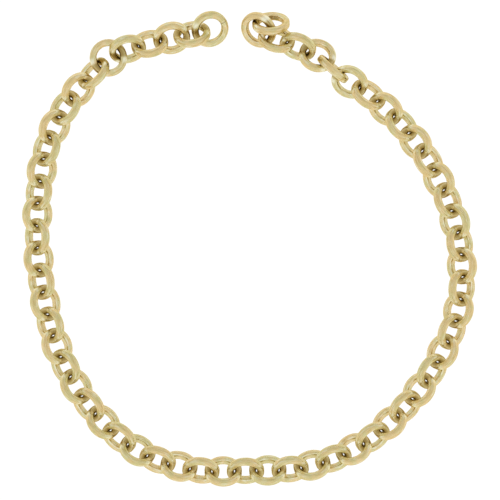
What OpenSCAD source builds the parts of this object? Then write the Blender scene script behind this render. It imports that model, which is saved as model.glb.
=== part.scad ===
// A cable chain necklace of round links, laid open on a surface as a ring with two free ends.
// Millimetres, +Z up, the surface at Z zero, the ring's middle over the origin.

/* [Link] */
// Outside diameter of one round link
link_across = 12; // [11.95:0.05:12.1]
// Thickness of a link from its hole to its rim
wire_deep = 2.2; // [2:0.05:2.2]
// Thickness of a link along its axis
wire_wide = 2.5; // [2.3:0.05:2.55]
// Radius that rounds the four edges of a link
edge_round = 0.85; // [0.85:0.05:1]

/* [Laying] */
// Lean of the odd links, outer side high
lean_out = 48; // [47:0.5:49]
// Lean of the even links, inner side high
lean_in = 49; // [48:0.5:50]

/* [Clasp seam] */
// Width of the fine seam across the last link
seam_wide = 0.15; // [0.1:0.01:0.3]
// Depth of that seam
seam_deep = 0.12; // [0.05:0.01:0.3]
// Place of that seam round the last link
seam_turn = 2; // [-20:1:20]

/* [Hidden] */

// The loosely laid ends fit this pitch alone, so it has no range.
link_step = 7.14;
link_count = 62;
half_count = 31;
first_even = 8;
last_even = 56;
first_bearing = 37.6;

ring_sides = 64;
edge_sides = 16;
cut_spare = 0.5;

wire_middle = link_across / 2 - wire_deep / 2;
straight_deep = wire_deep / 2 - edge_round;
straight_wide = wire_wide / 2 - edge_round;

// The evenly laid row: bearing clockwise from straight up, and reach from the origin.
BEARING = 0;
REACH = 1;
route = [
    [15, 66.2],
    [30, 62.5],
    [45, 62.3],
    [60, 63.2],
    [75, 64.9],
    [90, 67.3],
    [105, 69.4],
    [120, 70.0],
    [135, 70.9],
    [150, 72.2],
    [165, 72.1],
    [180, 71.1],
    [195, 73.0],
    [210, 73.9],
    [225, 72.0],
    [240, 69.7],
    [255, 67.8],
    [270, 67.9],
    [285, 69.9],
    [300, 73.3],
    [315, 74.9],
    [330, 74.8],
    [345, 71.2]
];

// Links of the even row that lean otherwise than their neighbours.
LINK = 0;
OTHER_LEAN = 1;
odd_leans = [
    [8, -51],
    [48, -53],
    [54, -46],
    [56, -57]
];

// The loosely laid links at both ends. Heading is anticlockwise from +X towards the next link,
// lean is outer side high, tip is front high, and lift is the height off the surface.
ACROSS = 1;
UP = 2;
HEADING = 3;
LEAN = 4;
TIP = 5;
LIFT = 6;
loose = [
    [1, 6.7, 71.9, 182, 56, -2, 0.2],
    [2, 2.75, 70.0, -46, 40, -2, 0.1],
    [3, 8.45, 66.9, -15, -50, 0, 0],
    [4, 15.3, 64.6, -21, 57, 0, 0],
    [5, 21.6, 61.8, -20, -31, 1, 0.7],
    [6, 26.5, 57.4, -41, -82, 0, 0],
    [7, 31.9, 53.3, -33, 42, -5, 0.6],
    [57, -45.3, 61.0, 35, -2, -4, 3.4],
    [58, -39.2, 63.8, 18, 54, 3, 0],
    [59, -32.1, 65.5, 11, -47, 0, 0],
    [60, -25.1, 67.4, 14, 42, 0, 0],
    [61, -18.6, 68.5, 10, -50, 0, 0],
    [62, -12.8, 70.3, 30, 30, 0, 0]
];

function is_even_row(n) = n >= first_even && n <= last_even;

function row_of(table, n) = [for (row = table) if (row[LINK] == n) row][0];

function held(i) = route[max(0, min(len(route) - 1, i))][REACH];

// A smooth curve through four neighbouring reaches.
function smooth(a, b, c, d, t) =
    (2 * b + (c - a) * t + (2 * a - 5 * b + 4 * c - d) * t * t + (3 * b - a - 3 * c + d) * t * t * t) / 2;

function reach_at(bearing) =
    let (rows = (bearing - route[0][BEARING]) / (route[1][BEARING] - route[0][BEARING]))
    let (i = floor(rows))
    smooth(held(i - 1), held(i), held(i + 1), held(i + 2), rows - i);

function place_at(bearing) = reach_at(bearing) * [sin(bearing), cos(bearing)];

// Moves a guessed bearing until it lies one link step from the bearing before it.
function refined(from, guess, tries) =
    tries == 0
        ? guess
        : refined(from, from + (guess - from) * link_step / norm(place_at(guess) - place_at(from)), tries - 1);

function next_bearing(from) = refined(from, from + link_step / reach_at(from) * 180 / PI, 4);

bearings = [
    for (n = first_even, b = first_bearing; n <= last_even; n = n + 1, b = next_bearing(b)) b
];

function centre_of(n) =
    is_even_row(n)
        ? place_at(bearings[n - first_even])
        : [row_of(loose, n)[ACROSS], row_of(loose, n)[UP]];

function direction(from, to) = atan2(to[1] - from[1], to[0] - from[0]);

function heading_of(n) =
    is_even_row(n) ? direction(centre_of(n - 1), centre_of(n + 1)) : row_of(loose, n)[HEADING];

function even_lean(n) =
    len([for (row = odd_leans) if (row[LINK] == n) row]) > 0
        ? row_of(odd_leans, n)[OTHER_LEAN]
        : n % 2 == 1 ? lean_out : -lean_in;

function lean_of(n) = is_even_row(n) ? even_lean(n) : row_of(loose, n)[LEAN];

function tip_of(n) = is_even_row(n) ? 0 : row_of(loose, n)[TIP];

function lift_of(n) = is_even_row(n) ? 0 : row_of(loose, n)[LIFT];

// How high a link's middle lies when its lowest point touches the surface.
function rest_height(lean, tip) =
    let (level = cos(lean) * cos(tip))
    (link_across / 2 - edge_round) * sqrt(1 - level * level) + straight_wide * abs(level) + edge_round;

module section() {
    square([wire_deep, 2 * straight_wide], center = true);
    square([2 * straight_deep, wire_wide], center = true);
    for (side = [-1, 1])
        for (end = [-1, 1])
            translate([side * straight_deep, end * straight_wide])
                circle(r = edge_round, $fn = edge_sides);
}

module link() {
    rotate_extrude($fn = ring_sides)
        translate([wire_middle, 0])
            section();
}

// A thin slice all round the wire, open in its middle.
module seam() {
    rotate([0, 0, seam_turn])
        translate([wire_middle, 0, 0])
            rotate([90, 0, 0])
                linear_extrude(height = seam_wide, center = true)
                    difference() {
                        square([wire_deep + cut_spare, wire_wide + cut_spare], center = true);
                        square([wire_deep - 2 * seam_deep, wire_wide - 2 * seam_deep], center = true);
                    }
}

module laid(n) {
    spot = centre_of(n);
    height = rest_height(lean_of(n), tip_of(n)) + lift_of(n);
    translate([spot[0], spot[1], height])
        rotate([0, 0, heading_of(n)])
            rotate([0, -tip_of(n), 0])
                rotate([lean_of(n), 0, 0])
                    children();
}

module run(from, to) {
    for (n = [from:to])
        laid(n)
            link();
}

module end_link() {
    color("khaki")
        laid(1)
            link();
}

module chain_right() {
    color("goldenrod")
        run(2, half_count);
}

module chain_left() {
    color("darkkhaki")
        run(half_count + 1, link_count - 1);
}

module clasp_link() {
    color("gold")
        laid(link_count)
            difference() {
                link();
                seam();
            }
}

end_link();
chain_right();
chain_left();
clasp_link();
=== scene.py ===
"""Looks of a cable chain necklace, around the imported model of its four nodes.

A plain round link and one with a fine seam are modelled in brushed gold and copied along the
chain, each copy in the place that the model has for it. The chain lies on a pale floor in soft
studio light, seen from straight above.
"""
import logging
import math
import random
from dataclasses import dataclass, field
from enum import Enum
from typing import NamedTuple, Sequence, Union

import bpy
import numpy as np
from mathutils import Matrix, Vector


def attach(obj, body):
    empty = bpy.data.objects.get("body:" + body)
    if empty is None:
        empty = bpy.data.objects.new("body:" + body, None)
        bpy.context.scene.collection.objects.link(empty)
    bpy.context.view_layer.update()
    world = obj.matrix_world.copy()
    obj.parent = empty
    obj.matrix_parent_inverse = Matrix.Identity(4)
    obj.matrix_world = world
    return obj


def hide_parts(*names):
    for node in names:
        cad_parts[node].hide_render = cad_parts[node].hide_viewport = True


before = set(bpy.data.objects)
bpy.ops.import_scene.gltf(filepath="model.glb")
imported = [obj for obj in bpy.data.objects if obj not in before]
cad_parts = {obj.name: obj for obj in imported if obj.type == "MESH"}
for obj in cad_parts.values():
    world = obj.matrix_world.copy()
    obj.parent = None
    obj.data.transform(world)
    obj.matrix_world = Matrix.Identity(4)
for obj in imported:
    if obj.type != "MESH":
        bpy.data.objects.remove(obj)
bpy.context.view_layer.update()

log = logging.getLogger("necklace")

MM = 0.001
ROOT = "root"
WHITE = (1.0, 1.0, 1.0, 1.0)

# Middle value of a noise, and the sockets of a Mix node that mixes colours
NOISE_MIDDLE = 0.5
MIX_SHARE, MIX_LOW, MIX_HIGH = 0, 6, 7
MIX_RESULT = 2


def deselect_all() -> None:
    """Leaves nothing selected, since the frame's own nodes come in selected."""
    bpy.ops.object.select_all(action="DESELECT")


# Laying out the chain


class RouteRow(NamedTuple):
    """How far the evenly laid row lies from the middle at one bearing."""

    bearing_deg: float
    reach_mm: float


class LooseRow(NamedTuple):
    """One loosely laid link near a free end."""

    number: int
    across_mm: float
    up_mm: float
    heading_deg: float
    lean_deg: float
    tip_deg: float
    lift_mm: float


class Side(Enum):
    """The side of a leaning link that stands high, and the link's lean in degrees."""

    OUTER = 48.0
    INNER = -49.0


@dataclass(frozen=True)
class LinkSizes:
    """Sizes of one round link, in millimetres."""

    across: float = 12.0
    deep: float = 2.2
    wide: float = 2.5
    edge: float = 0.85
    edge_steps: int = 6
    ring_steps: int = 96
    weld: float = 0.001

    @property
    def middle(self) -> float:
        """Distance from the link's axis to the middle of its wire."""
        return self.across / 2 - self.deep / 2

    @property
    def flat_deep(self) -> float:
        """Half of the section's straight run across the wire."""
        return self.deep / 2 - self.edge

    @property
    def flat_wide(self) -> float:
        """Half of the section's straight run along the link's axis."""
        return self.wide / 2 - self.edge


@dataclass(frozen=True)
class SeamSizes:
    """Sizes of the fine seam round the last link's wire, in millimetres and degrees."""

    turn: float = 2.0
    wide: float = 0.15
    deep: float = 0.12
    reach: float = 1.5
    crease: float = 40.0

    @property
    def way(self) -> Vector:
        """The direction across the seam, along the wire."""
        angle = math.radians(self.turn)
        return Vector((-math.sin(angle), math.cos(angle), 0))


@dataclass(frozen=True)
class Pose:
    """Where one link lies and how it leans, in millimetres and degrees."""

    number: int
    across: float
    up: float
    heading: float
    lean: float
    tip: float = 0.0
    lift: float = 0.0

    def height(self, sizes: LinkSizes) -> float:
        """Finds how high the link's middle lies.

        Args:
            sizes: The link's sizes.

        Returns:
            The height above the floor, in millimetres.
        """
        level = math.cos(math.radians(self.lean)) * math.cos(math.radians(self.tip))
        reach = (sizes.across / 2 - sizes.edge) * math.sqrt(1 - level * level)
        return reach + sizes.flat_wide * abs(level) + sizes.edge + self.lift

    def matrix(self, sizes: LinkSizes) -> Matrix:
        """Builds the link's place.

        Args:
            sizes: The link's sizes.

        Returns:
            The matrix from the link's own millimetres to the frame's millimetres.
        """
        return (
            Matrix.Translation((self.across, self.up, self.height(sizes)))
            @ Matrix.Rotation(math.radians(self.heading), 4, "Z")
            @ Matrix.Rotation(-math.radians(self.tip), 4, "Y")
            @ Matrix.Rotation(math.radians(self.lean), 4, "X")
        )


@dataclass(frozen=True)
class Layout:
    """The whole chain's laying: an even row all round, and loose links at both ends.

    The step is in millimetres, and bearings and leans are in degrees.
    """

    link_step: float = 7.14
    first_bearing: float = 37.6
    first_even: int = 8
    last_even: int = 56
    tries: int = 4
    route: tuple[RouteRow, ...] = tuple(
        RouteRow(*row)
        for row in (
            (15, 66.2), (30, 62.5), (45, 62.3), (60, 63.2), (75, 64.9), (90, 67.3),
            (105, 69.4), (120, 70.0), (135, 70.9), (150, 72.2), (165, 72.1), (180, 71.1),
            (195, 73.0), (210, 73.9), (225, 72.0), (240, 69.7), (255, 67.8), (270, 67.9),
            (285, 69.9), (300, 73.3), (315, 74.9), (330, 74.8), (345, 71.2),
        )
    )
    loose: tuple[LooseRow, ...] = tuple(
        LooseRow(*row)
        for row in (
            (1, 6.7, 71.9, 182, 56, -2, 0.2),
            (2, 2.75, 70.0, -46, 40, -2, 0.1),
            (3, 8.45, 66.9, -15, -50, 0, 0),
            (4, 15.3, 64.6, -21, 57, 0, 0),
            (5, 21.6, 61.8, -20, -31, 1, 0.7),
            (6, 26.5, 57.4, -41, -82, 0, 0),
            (7, 31.9, 53.3, -33, 42, -5, 0.6),
            (57, -45.3, 61.0, 35, -2, -4, 3.4),
            (58, -39.2, 63.8, 18, 54, 3, 0),
            (59, -32.1, 65.5, 11, -47, 0, 0),
            (60, -25.1, 67.4, 14, 42, 0, 0),
            (61, -18.6, 68.5, 10, -50, 0, 0),
            (62, -12.8, 70.3, 30, 30, 0, 0),
        )
    )
    odd_leans: tuple[tuple[int, float], ...] = (
        (8, -51.0), (48, -53.0), (54, -46.0), (56, -57.0),
    )

    def _reach(self, bearing: float) -> float:
        """Reads the route's reach at a bearing, on a smooth curve through its rows.

        Args:
            bearing: Degrees clockwise from straight up.

        Returns:
            The distance from the middle, in millimetres.
        """
        first, second = self.route[0].bearing_deg, self.route[1].bearing_deg
        rows = (bearing - first) / (second - first)
        start = math.floor(rows)
        t = rows - start
        last = len(self.route) - 1
        a, b, c, d = (
            self.route[max(0, min(last, start + i))].reach_mm for i in (-1, 0, 1, 2)
        )
        curve = 2 * b + (c - a) * t + (2 * a - 5 * b + 4 * c - d) * t * t
        return (curve + (3 * b - a - 3 * c + d) * t**3) / 2

    def _spot(self, bearing: float) -> Vector:
        """Returns the route's point at a bearing, in millimetres."""
        angle = math.radians(bearing)
        return self._reach(bearing) * Vector((math.sin(angle), math.cos(angle)))

    def _next_bearing(self, bearing: float) -> float:
        """Finds the bearing that lies one link step further.

        Args:
            bearing: The bearing of the link before.

        Returns:
            The bearing of the next link.
        """
        here = self._spot(bearing)
        turn = math.degrees(self.link_step / self._reach(bearing))
        for _ in range(self.tries):
            turn *= self.link_step / (self._spot(bearing + turn) - here).length
        return bearing + turn

    def poses(self) -> list[Pose]:
        """Lays every link of the chain.

        Returns:
            One pose a link, in order from the right-hand free end.
        """
        loose = {row.number: row for row in self.loose}
        spots = {n: Vector((row.across_mm, row.up_mm)) for n, row in loose.items()}
        bearing = self.first_bearing
        for number in range(self.first_even, self.last_even + 1):
            spots[number] = self._spot(bearing)
            bearing = self._next_bearing(bearing)
        odd_leans = dict(self.odd_leans)
        poses = []
        for number in sorted(spots):
            if number in loose:
                poses.append(Pose(*loose[number]))
                continue
            way = spots[number + 1] - spots[number - 1]
            side = Side.OUTER if number % 2 else Side.INNER
            poses.append(
                Pose(
                    number=number,
                    across=spots[number].x,
                    up=spots[number].y,
                    heading=math.degrees(math.atan2(way.y, way.x)),
                    lean=odd_leans.get(number, side.value),
                )
            )
        return poses


# Shader boards

Number = Union["Wire", float]
Socket = Union["Wire", float, Sequence[float]]


class Wire:
    """One output socket of a node, on which arithmetic adds Math nodes."""

    def __init__(self, board: "Board", socket: bpy.types.NodeSocket) -> None:
        """Wraps a socket.

        Args:
            board: The board that the socket's node is on.
            socket: The output socket.
        """
        self.board = board
        self.socket = socket

    def _math(self, operation: str, first: Number, second: Number) -> "Wire":
        """Adds one Math node.

        Args:
            operation: The node's operation.
            first: Its first number.
            second: Its second number.

        Returns:
            The node's result.
        """
        return self.board.node("ShaderNodeMath", {"operation": operation}, {0: first, 1: second})

    def __add__(self, other: Number) -> "Wire":
        """Adds a number."""
        return self._math("ADD", self, other)

    def __radd__(self, other: Number) -> "Wire":
        """Is added to a number."""
        return self._math("ADD", other, self)

    def __sub__(self, other: Number) -> "Wire":
        """Takes a number away."""
        return self._math("SUBTRACT", self, other)

    def __rsub__(self, other: Number) -> "Wire":
        """Is taken away from a number."""
        return self._math("SUBTRACT", other, self)

    def __mul__(self, other: Number) -> "Wire":
        """Multiplies by a number."""
        return self._math("MULTIPLY", self, other)

    def __rmul__(self, other: Number) -> "Wire":
        """Multiplies a number."""
        return self._math("MULTIPLY", other, self)

    def __abs__(self) -> "Wire":
        """Drops the sign."""
        return self._math("ABSOLUTE", self, 0.0)

    def between(self, low: float, high: float) -> "Wire":
        """Fades from 0 at one value to 1 at another.

        Args:
            low: The value that gives 0.
            high: The value that gives 1.

        Returns:
            The smooth share between them.
        """
        return self.board.node(
            "ShaderNodeMapRange",
            {"interpolation_type": "SMOOTHSTEP"},
            {"Value": self, "From Min": low, "From Max": high},
        )


class Board:
    """A node tree that is filled by calls, one node a call."""

    def __init__(self, tree: bpy.types.NodeTree) -> None:
        """Empties a node tree.

        Args:
            tree: The tree of a material or of the world.
        """
        tree.nodes.clear()
        self.tree = tree

    def node(
        self,
        kind: str,
        settings: dict[str, object],
        sockets: dict[Union[int, str], Socket],
        output: Union[int, str] = 0,
    ) -> Wire:
        """Adds a node.

        Args:
            kind: The node's type.
            settings: Its own settings, which are set first.
            sockets: The values or wires of its input sockets.
            output: The output to go on with.

        Returns:
            That output.
        """
        node = self.tree.nodes.new(kind)
        for name, value in settings.items():
            setattr(node, name, value)
        for key, value in sockets.items():
            if isinstance(value, Wire):
                self.tree.links.new(value.socket, node.inputs[key])
            else:
                node.inputs[key].default_value = value
        return Wire(self, node.outputs[output]) if len(node.outputs) else Wire(self, None)

    def blend(self, share: Number, low: Socket, high: Socket) -> Wire:
        """Mixes two colours.

        Args:
            share: How much of the second colour shows.
            low: The first colour.
            high: The second colour.

        Returns:
            The mixed colour.
        """
        return self.node(
            "ShaderNodeMix",
            {"data_type": "RGBA"},
            {MIX_SHARE: share, MIX_LOW: low, MIX_HIGH: high},
            output=MIX_RESULT,
        )

    def vector(self, x: Number, y: Number, z: Number) -> Wire:
        """Joins three numbers into a vector."""
        return self.node("ShaderNodeCombineXYZ", {}, {"X": x, "Y": y, "Z": z})

    def attribute(self, mark: "Mark", output: str) -> Wire:
        """Reads an attribute of the piece's own mesh."""
        return self.node("ShaderNodeAttribute", {"attribute_name": mark.value}, {}, output)

    def parts(self, vector: Wire) -> tuple[Wire, Wire, Wire]:
        """Splits a vector into its three numbers.

        Args:
            vector: The vector.

        Returns:
            Its X, Y and Z.
        """
        split = self.node("ShaderNodeSeparateXYZ", {}, {"Vector": vector})
        outputs = split.socket.node.outputs
        return tuple(Wire(self, outputs[i]) for i in range(3))

    def noise(self, place: Wire, turn: Number, detail: float) -> Wire:
        """Reads a noise of four dimensions.

        Args:
            place: Its first three coordinates.
            turn: Its fourth coordinate.
            detail: How many finer layers it has.

        Returns:
            The noise, from 0 to 1.
        """
        return self.node(
            "ShaderNodeTexNoise",
            {"noise_dimensions": "4D"},
            {"Vector": place, "W": turn, "Scale": 1.0, "Detail": detail},
        )


# Finishes


class Mark(Enum):
    """Names of the attributes that a link's mesh carries for its finish."""

    WIRE = "wire_place"
    TURN = "wire_turn"
    TONE = "link_tone"
    GAP = "neighbour_gap"
    JOINT = "joint_turn"


class Ramp(NamedTuple):
    """The two values between which something fades."""

    low: float
    high: float


class Brush(NamedTuple):
    """One layer of the brushing: its fineness across and round the wire, and its detail."""

    per_mm: float
    turns: float
    detail: float


@dataclass(frozen=True)
class Reading:
    """What the gold reads at each point of a link."""

    deep: Wire
    sunk: Wire
    tone: Wire
    gap: Wire
    joint: Wire
    streaks: Wire
    bands: Wire
    patches: Wire
    grain: Wire
    edge: Wire
    outer: Wire
    crown: Wire
    polish_highlight: Wire


@dataclass(frozen=True)
class SatinGold:
    """Pale yellow gold, brushed round each link, with painted highlights on its edges and painted
    shade where links meet.

    Ramps on the wire, on gaps and on the seam are in millimetres, and ramps on turns in degrees.
    The ramp on height and the depth of the relief are in metres, and the other ramps are plain
    numbers. A share says how much of a colour or an effect shows.
    """

    name: str = "satin_gold"

    # Colours
    olive: tuple[float, ...] = (0.73, 0.67, 0.33, 1.0)
    rosy: tuple[float, ...] = (0.87, 0.67, 0.34, 1.0)
    amber: tuple[float, ...] = (0.57, 0.43, 0.165, 1.0)
    cream: tuple[float, ...] = (1.0, 0.98, 0.76, 1.0)
    shade_brown: tuple[float, ...] = (0.225, 0.143, 0.03, 1.0)
    shadow_black: tuple[float, ...] = (0.07, 0.04, 0.008, 1.0)
    rim: tuple[float, ...] = (0.90, 0.79, 0.50, 1.0)

    # Layers of the brushing
    streaks: Brush = Brush(3.4, 2.4, 2.0)
    bands: Brush = Brush(1.2, 2.0, 2.0)
    patches: Brush = Brush(0.45, 2.6, 1.0)
    grain: Brush = Brush(11.0, 5.0, 1.0)

    # The wire's rounded edges and outer side. The corner is half its thickness times half its
    # width, and the edge ramp is a share of it.
    corner: float = 1.1 * 1.25
    edge: Ramp = Ramp(0.53, 0.615)
    outer: Ramp = Ramp(0.0, 0.4)
    lifted: Ramp = Ramp(0.004, 0.007)
    polish_highlight_bands: Ramp = Ramp(0.38, 0.62)

    # The open gold, with painted glints in its pale streaks, painted highlights on its edges and
    # crests, and painted shade on its crowns
    tint: Ramp = Ramp(0.4, 0.8)
    tint_tone: float = 0.2
    shine: Ramp = Ramp(0.0, 0.26)
    shine_streaks: float = 0.8
    shine_bands: float = 0.32
    shine_grain: float = 0.3
    dark_share: float = 0.8
    glint_share: float = 0.95
    polish_highlight_share: float = 0.6
    crown_turn: Ramp = Ramp(35.0, 60.0)
    crown_share: float = 0.18
    crest_slant: float = 4.0
    crest_rise: Ramp = Ramp(19.0, 30.0)
    crest_fall: Ramp = Ramp(34.0, 50.0)
    crest_deep: Ramp = Ramp(-0.5, 0.1)
    crest_share: float = 0.85

    # Painted shade on gold that lies near other links, at the link ends and in the seam's groove,
    # and painted shadow where links almost touch
    near: Ramp = Ramp(0.3, 1.35)
    near_streaks: float = 0.4
    near_share: float = 0.6
    near_turn: Ramp = Ramp(13.0, 30.0)
    near_relief: float = 0.7
    end: Ramp = Ramp(13.0, 28.0)
    end_share: float = 0.46
    end_slant: float = 0.36
    end_streaks: float = 0.8
    end_base: float = 0.6
    line_share: float = 0.35
    shade: Ramp = Ramp(0.0, 0.6)
    shade_brown_share: float = 0.75
    contact: Ramp = Ramp(0.3, 0.62)
    contact_share: float = 0.7
    cut: Ramp = Ramp(0.02, 0.09)
    cut_share: float = 0.6

    # Roughness and relief
    rough: float = 0.28
    rough_streaks: float = 0.3
    rough_grain: float = 0.15
    rough_polish: float = 0.12
    relief: float = 0.5
    relief_depth: float = 0.00002
    relief_bands: float = 1.5
    relief_grain: float = 0.4

    def material(self) -> bpy.types.Material:
        """Makes the material.

        Returns:
            The material, which reads the marks that each link's mesh carries.
        """
        gold = bpy.data.materials.new(self.name)
        gold.use_nodes = True
        board = Board(gold.node_tree)
        at = self._read(board)
        rough = (at.streaks - NOISE_MIDDLE) * self.rough_streaks
        rough = rough + (at.grain - NOISE_MIDDLE) * self.rough_grain
        bump = board.node(
            "ShaderNodeBump",
            {},
            {
                "Strength": self.relief,
                "Distance": self.relief_depth,
                "Height": at.streaks + at.bands * self.relief_bands + at.grain * self.relief_grain,
            },
        )
        shader = board.node(
            "ShaderNodeBsdfPrincipled",
            {},
            {
                "Base Color": self._shaded(board, at, self._brushed(board, at)),
                "Metallic": 1.0,
                "Specular Tint": self.rim,
                "Roughness": rough + self.rough - at.polish_highlight * self.rough_polish,
                "Normal": bump,
            },
        )
        board.node("ShaderNodeOutputMaterial", {}, {"Surface": shader})
        return gold

    def _read(self, board: Board) -> Reading:
        """Reads a link's marks and lays the brushing along its wire.

        Args:
            board: The material's board.

        Returns:
            The readings that the colour and the roughness are made from.
        """
        deep, wide, seed = board.parts(board.attribute(Mark.WIRE, "Vector"))
        turn_x, turn_y, sunk = board.parts(board.attribute(Mark.TURN, "Vector"))

        def laid(brush: Brush) -> Wire:
            """Draws one layer of streaks that run round the link."""
            place = board.vector(deep * brush.per_mm, wide * brush.per_mm, turn_x * brush.turns)
            return board.noise(place, turn_y * brush.turns + seed, brush.detail)

        bands = laid(self.bands)
        edge = (abs(deep) * abs(wide) * (1 / self.corner)).between(*self.edge)
        outer = deep.between(*self.outer)
        height = board.parts(board.node("ShaderNodeTexCoord", {}, {}, "Object"))[2]
        crown = outer * wide.between(*self.outer) * height.between(*self.lifted)
        return Reading(
            deep=deep,
            sunk=sunk,
            tone=board.attribute(Mark.TONE, "Fac"),
            gap=board.attribute(Mark.GAP, "Fac"),
            joint=board.attribute(Mark.JOINT, "Fac"),
            streaks=laid(self.streaks),
            bands=bands,
            patches=laid(self.patches),
            grain=laid(self.grain),
            edge=edge,
            outer=outer,
            crown=crown,
            polish_highlight=edge * bands.between(*self.polish_highlight_bands) * (1 - crown),
        )

    def _brushed(self, board: Board, at: Reading) -> Wire:
        """Colours the open gold: its tint and streaks, with painted glints in the pale streaks,
        painted highlights on its polished edges and crests, and painted shade on its crowns.

        Args:
            board: The material's board.
            at: The readings.

        Returns:
            The colour away from the joints.
        """
        tint = (at.patches + at.tone * self.tint_tone).between(*self.tint)
        colour = board.blend(tint, self.olive, self.rosy)
        shine = (
            (at.streaks - NOISE_MIDDLE) * self.shine_streaks
            + (at.bands - NOISE_MIDDLE) * self.shine_bands
            + (at.grain - NOISE_MIDDLE) * self.shine_grain
        )
        dark = (0.0 - shine).between(*self.shine) * self.dark_share
        colour = board.blend(dark, colour, self.amber)
        # The pale streaks are partly the brushing's own tone and partly painted glints.
        colour = board.blend(shine.between(*self.shine) * self.glint_share, colour, self.cream)
        # Painted highlight on the polished edges, which are also made smoother.
        colour = board.blend(at.polish_highlight * self.polish_highlight_share, colour, self.cream)
        # Painted shade: the raised top of each high arc is darkened towards amber.
        crown = at.crown * at.joint.between(*self.crown_turn) * self.crown_share
        colour = board.blend(crown, colour, self.amber)
        # Painted light: the crests beside each joint are lightened towards cream.
        turned = at.joint + at.deep * self.crest_slant
        crest = turned.between(*self.crest_rise) * (1 - turned.between(*self.crest_fall))
        crest = crest * at.deep.between(*self.crest_deep) * self.crest_share
        return board.blend(crest, colour, self.cream)

    def _shaded(self, board: Board, at: Reading, colour: Wire) -> Wire:
        """Paints shade on the gold near other links and at the link ends, and paints shadow in
        contacts and in the seam's groove.

        Args:
            board: The material's board.
            at: The readings.
            colour: The open gold's colour.

        Returns:
            The whole colour.
        """
        # Painted shade near other links, at the link ends, and as a dark line along the outer
        # edges at the ends, blended towards amber and a shade brown.
        close = at.gap + (at.streaks - NOISE_MIDDLE) * self.near_streaks
        shade_near = (1 - close.between(*self.near)) * self.near_share
        shade_near = shade_near * (1 - at.joint.between(*self.near_turn) * self.near_relief)
        end = 1 - at.joint.between(*self.end)
        line = at.edge * at.outer * end * self.line_share
        slant = self.end_share - at.deep * self.end_slant
        end = end * slant * (at.streaks * self.end_streaks + self.end_base)
        shade = shade_near + end + line
        colour = board.blend(shade.between(*self.shade), colour, self.amber)
        colour = board.blend(shade * self.shade_brown_share, colour, self.shade_brown)
        # Painted shadow, nearly black, where links almost touch.
        contact = (1 - at.gap.between(*self.contact)) * self.contact_share
        colour = board.blend(contact, colour, self.shadow_black)
        # Painted shade in the floor of the seam's groove.
        cut = at.sunk.between(*self.cut) * self.cut_share
        return board.blend(cut, colour, self.shadow_black)


@dataclass(frozen=True)
class PalePaper:
    """A plain, nearly white studio floor."""

    name: str
    shade: float
    glow: float

    def material(self) -> bpy.types.Material:
        """Makes the material.

        Returns:
            The floor's material.
        """
        paper = bpy.data.materials.new(self.name)
        paper.use_nodes = True
        board = Board(paper.node_tree)
        shader = board.node(
            "ShaderNodeBsdfPrincipled",
            {},
            {
                "Base Color": (self.shade, self.shade, self.shade, 1.0),
                "Roughness": 1.0,
                "Specular IOR Level": 0.0,
                "Emission Color": WHITE,
                "Emission Strength": self.glow,
            },
        )
        board.node("ShaderNodeOutputMaterial", {}, {"Surface": shader})
        return paper


# Modelling


@dataclass
class LinkPattern:
    """Models the links that are copied, in millimetres about their own middle."""

    sizes: LinkSizes

    def model(self, name: str) -> bpy.types.Object:
        """Models a plain link.

        Args:
            name: The object's name.

        Returns:
            A closed ring with a rounded square section.
        """
        size = self.sizes
        deselect_all()
        bpy.ops.mesh.primitive_plane_add(
            size=1.0, location=(size.middle, 0, 0), rotation=(math.pi / 2, 0, 0)
        )
        link = bpy.context.active_object
        link.name = name
        bpy.ops.object.transform_apply(location=True, rotation=True, scale=True)
        bpy.ops.object.mode_set(mode="EDIT")
        bpy.ops.mesh.select_all(action="SELECT")
        bpy.ops.transform.resize(
            value=(size.deep, 1, size.wide), center_override=(size.middle, 0, 0)
        )
        bpy.ops.mesh.bevel(offset=size.edge, segments=size.edge_steps, affect="VERTICES")
        bpy.ops.mesh.delete(type="ONLY_FACE")
        bpy.ops.mesh.select_all(action="SELECT")
        bpy.ops.mesh.spin(
            steps=size.ring_steps, angle=math.tau, center=(0, 0, 0), axis=(0, 0, 1)
        )
        bpy.ops.mesh.select_all(action="SELECT")
        bpy.ops.mesh.remove_doubles(threshold=size.weld)
        bpy.ops.mesh.normals_make_consistent(inside=False)
        bpy.ops.object.mode_set(mode="OBJECT")
        bpy.ops.object.shade_smooth()
        return link

    def cut_seam(self, link: bpy.types.Object, seam: SeamSizes) -> None:
        """Sinks a narrow groove all round a plain link's wire.

        Args:
            link: The plain link, still in its own millimetres.
            seam: The groove's sizes.
        """
        deselect_all()
        link.select_set(True)
        bpy.context.view_layer.objects.active = link
        for edge in (-seam.wide / 2, seam.wide / 2):
            self._select_near(link, seam, seam.reach)
            bpy.ops.object.mode_set(mode="EDIT")
            bpy.ops.mesh.bisect(plane_co=seam.way * edge, plane_no=seam.way)
            bpy.ops.object.mode_set(mode="OBJECT")
        self._select_near(link, seam, seam.wide / 2)
        bpy.ops.object.mode_set(mode="EDIT")
        bpy.ops.mesh.extrude_region_shrink_fatten(
            TRANSFORM_OT_shrink_fatten={"value": -seam.deep}
        )
        bpy.ops.object.mode_set(mode="OBJECT")
        bpy.ops.object.shade_smooth_by_angle(angle=math.radians(seam.crease))

    def _select_near(self, link: bpy.types.Object, seam: SeamSizes, reach: float) -> None:
        """Selects the faces whose middle lies this near to the seam's own middle.

        Args:
            link: The link.
            seam: The seam.
            reach: The distance along the wire, in millimetres.
        """
        bpy.ops.object.mode_set(mode="EDIT")
        bpy.ops.mesh.select_mode(type="FACE")
        bpy.ops.mesh.select_all(action="DESELECT")
        bpy.ops.object.mode_set(mode="OBJECT")
        for face in link.data.polygons:
            face.select = face.center.x > 0 and abs(face.center.dot(seam.way)) < reach


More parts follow.
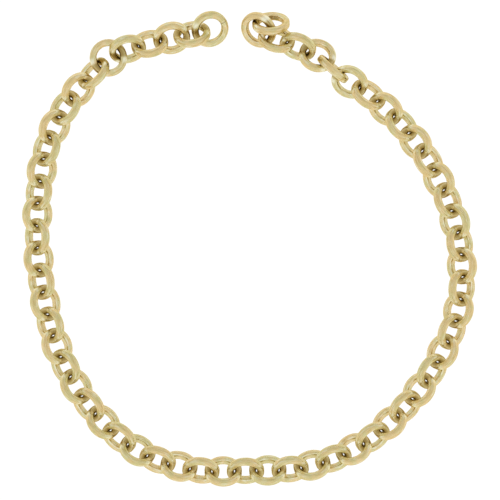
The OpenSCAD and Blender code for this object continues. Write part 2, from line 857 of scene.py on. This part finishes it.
@dataclass
class ChainRun:
    """One node of the chain: a run of links in the order that they hang in each other."""

    node: str
    first: int
    last: int
    sizes: LinkSizes
    neighbours: int = 2
    seeds: float = 40.0
    pieces: list[bpy.types.Object] = field(default_factory=list)

    def build(self, pattern: bpy.types.Object, poses: Sequence[Pose]) -> None:
        """Copies the pattern to the place of each link in this run.

        Args:
            pattern: The link that was modelled once.
            poses: The place of every link of the chain.
        """
        for pose in poses[self.first - 1:self.last]:
            link = pattern.copy()
            link.data = pattern.data.copy()
            link.name = f"link_{pose.number:02d}"
            bpy.context.scene.collection.objects.link(link)
            self._mark(link, pose, poses)
            link.data.transform(Matrix.Scale(MM, 4) @ pose.matrix(self.sizes))
            self.pieces.append(link)

    def _mark(self, link: bpy.types.Object, pose: Pose, poses: Sequence[Pose]) -> None:
        """Gives a link's mesh the marks that its finish reads.

        Args:
            link: The link, still in its own millimetres.
            pose: Its place.
            poses: The place of every link of the chain.
        """
        mesh = link.data
        points = np.empty(len(mesh.vertices) * 3, np.float32)
        mesh.vertices.foreach_get("co", points)
        points = points.reshape(-1, 3).astype(float)
        round_axis = np.hypot(points[:, 0], points[:, 1])
        draw = random.Random(pose.number)
        seed = np.full(len(points), draw.uniform(0, self.seeds))
        tone = np.full(len(points), draw.random())
        wire = np.stack([round_axis - self.sizes.middle, points[:, 2], seed], 1)
        sunk = -self._outside(points)
        turn = np.stack([points[:, 0] / round_axis, points[:, 1] / round_axis, sunk], 1)
        place = np.array(pose.matrix(self.sizes))
        world = points @ place[:3, :3].T + place[:3, 3]
        near = [
            other
            for other in poses
            if 0 < abs(other.number - pose.number) <= self.neighbours
        ]
        gap = self._gap(world, near)
        joint = self._joint(turn, place, pose, near)
        for mark, kind, values in (
            (Mark.WIRE, "FLOAT_VECTOR", wire),
            (Mark.TURN, "FLOAT_VECTOR", turn),
            (Mark.TONE, "FLOAT", tone),
            (Mark.GAP, "FLOAT", gap),
            (Mark.JOINT, "FLOAT", joint),
        ):
            layer = mesh.attributes.new(mark.value, kind, "POINT")
            key = "vector" if kind == "FLOAT_VECTOR" else "value"
            layer.data.foreach_set(key, values.astype(np.float32).ravel())

    def _joint(
        self, turn: np.ndarray, place: np.ndarray, pose: Pose, near: Sequence[Pose]
    ) -> np.ndarray:
        """Measures how far round the link points lie from the next links' directions.

        Args:
            turn: The points' directions from the link's middle.
            place: The link's matrix.
            pose: The link's place.
            near: The links round it.

        Returns:
            The turn from the nearer of the two neighbours, in degrees.
        """
        spots = np.array(
            [
                other.matrix(self.sizes).translation
                for other in near
                if abs(other.number - pose.number) == 1
            ]
        )
        towards = ((spots - place[:3, 3]) @ place[:3, :3])[:, :2]
        towards /= np.hypot(towards[:, 0], towards[:, 1])[:, None]
        nearest = (turn[:, :2] @ towards.T).max(axis=1)
        return np.degrees(np.arccos(np.clip(nearest, -1, 1)))

    def _gap(self, world: np.ndarray, near: Sequence[Pose]) -> np.ndarray:
        """Measures how far points lie from the nearest surface of other links.

        Args:
            world: Points in the frame, in millimetres.
            near: The other links' places.

        Returns:
            The distance of each point, in millimetres.
        """
        gap = np.full(len(world), np.inf)
        for other in near:
            place = np.array(other.matrix(self.sizes))
            gap = np.minimum(gap, self._outside((world - place[:3, 3]) @ place[:3, :3]))
        return gap

    def _outside(self, local: np.ndarray) -> np.ndarray:
        """Measures how far points lie outside a plain link's surface.

        Args:
            local: Points in that link's own millimetres.

        Returns:
            The distance of each point, which is below zero inside the wire.
        """
        size = self.sizes
        across = np.abs(np.hypot(local[:, 0], local[:, 1]) - size.middle) - size.flat_deep
        along = np.abs(local[:, 2]) - size.flat_wide
        outside = np.hypot(np.maximum(across, 0), np.maximum(along, 0))
        return outside + np.minimum(np.maximum(across, along), 0) - size.edge

    def dress(self, gold: bpy.types.Material) -> None:
        """Gives each link its finish and hands it to the frame.

        Args:
            gold: The links' material.
        """
        for link in self.pieces:
            link.data.materials.clear()
            link.data.materials.append(gold)
            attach(link, ROOT)
            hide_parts(self.node)
            log.info("%s stands for part of %s", link.name, self.node)


@dataclass
class Studio:
    """The floors, the light and the camera, in metres, and the sensor in millimetres."""

    frame_width: float = 0.160
    camera_height: float = 0.9
    link_height: float = 0.005
    frame_shift: float = -0.00048
    sensor: float = 36.0
    clip_end: float = 20.0
    floor_width: float = 6.0
    glow: float = 0.81
    glow_slope: float = 0.1
    seen: PalePaper = PalePaper("pale_floor", 1.0, 0.12)
    mirrored: PalePaper = PalePaper("mirrored_floor", 0.8, 0.40)

    def build_camera(self) -> None:
        """Puts the camera straight above the chain, as the photograph has it."""
        data = bpy.data.cameras.new("camera")
        data.sensor_width = self.sensor
        data.lens = self.sensor * self.camera_height / self.frame_width
        data.clip_end = self.clip_end
        camera = bpy.data.objects.new("camera", data)
        camera.location = (0, self.frame_shift, self.camera_height + self.link_height)
        bpy.context.scene.collection.objects.link(camera)
        bpy.context.scene.camera = camera

    def build_floor(self, finish: PalePaper) -> bpy.types.Object:
        """Lays a plain floor under the chain.

        Args:
            finish: The floor's finish.

        Returns:
            The floor.
        """
        deselect_all()
        bpy.ops.mesh.primitive_plane_add(size=self.floor_width)
        floor = bpy.context.active_object
        floor.name = finish.name
        floor.data.materials.append(finish.material())
        return floor

    def build_floors(self) -> None:
        """Lays the floor that is seen, and the one that the gold reflects."""
        seen = self.build_floor(self.seen)
        seen.visible_glossy = False
        seen.visible_diffuse = False
        mirrored = self.build_floor(self.mirrored)
        mirrored.visible_camera = False

    def build_light(self) -> None:
        """Surrounds the chain with soft light, a little stronger from the near side."""
        world = bpy.data.worlds.new("studio")
        bpy.context.scene.world = world
        world.use_nodes = True
        board = Board(world.node_tree)
        way = board.node("ShaderNodeTexCoord", {}, {}, "Generated")
        north = board.parts(way)[1]
        strength = self.glow - north * self.glow_slope
        glow = board.node(
            "ShaderNodeBackground", {}, {"Color": WHITE, "Strength": strength}
        )
        board.node("ShaderNodeOutputWorld", {}, {"Surface": glow})
        bpy.context.scene.view_settings.view_transform = "Standard"


def main() -> None:
    """Builds the necklace and its studio, and reports each piece."""
    logging.basicConfig(level=logging.INFO, format="%(name)s: %(message)s")
    studio = Studio()
    studio.build_camera()
    sizes = LinkSizes()
    poses = Layout().poses()
    pattern = LinkPattern(sizes)
    plain = pattern.model("plain_pattern")
    seamed = pattern.model("seamed_pattern")
    pattern.cut_seam(seamed, SeamSizes())
    gold = SatinGold().material()
    runs = (
        (ChainRun("end_link", 1, 1, sizes), plain),
        (ChainRun("chain_right", 2, 31, sizes), plain),
        (ChainRun("chain_left", 32, 61, sizes), plain),
        (ChainRun("clasp_link", 62, 62, sizes), seamed),
    )
    for run, link in runs:
        run.build(link, poses)
        run.dress(gold)
    for link in (plain, seamed):
        bpy.data.objects.remove(link)
    studio.build_floors()
    studio.build_light()


if __name__ == "__main__":
    main()
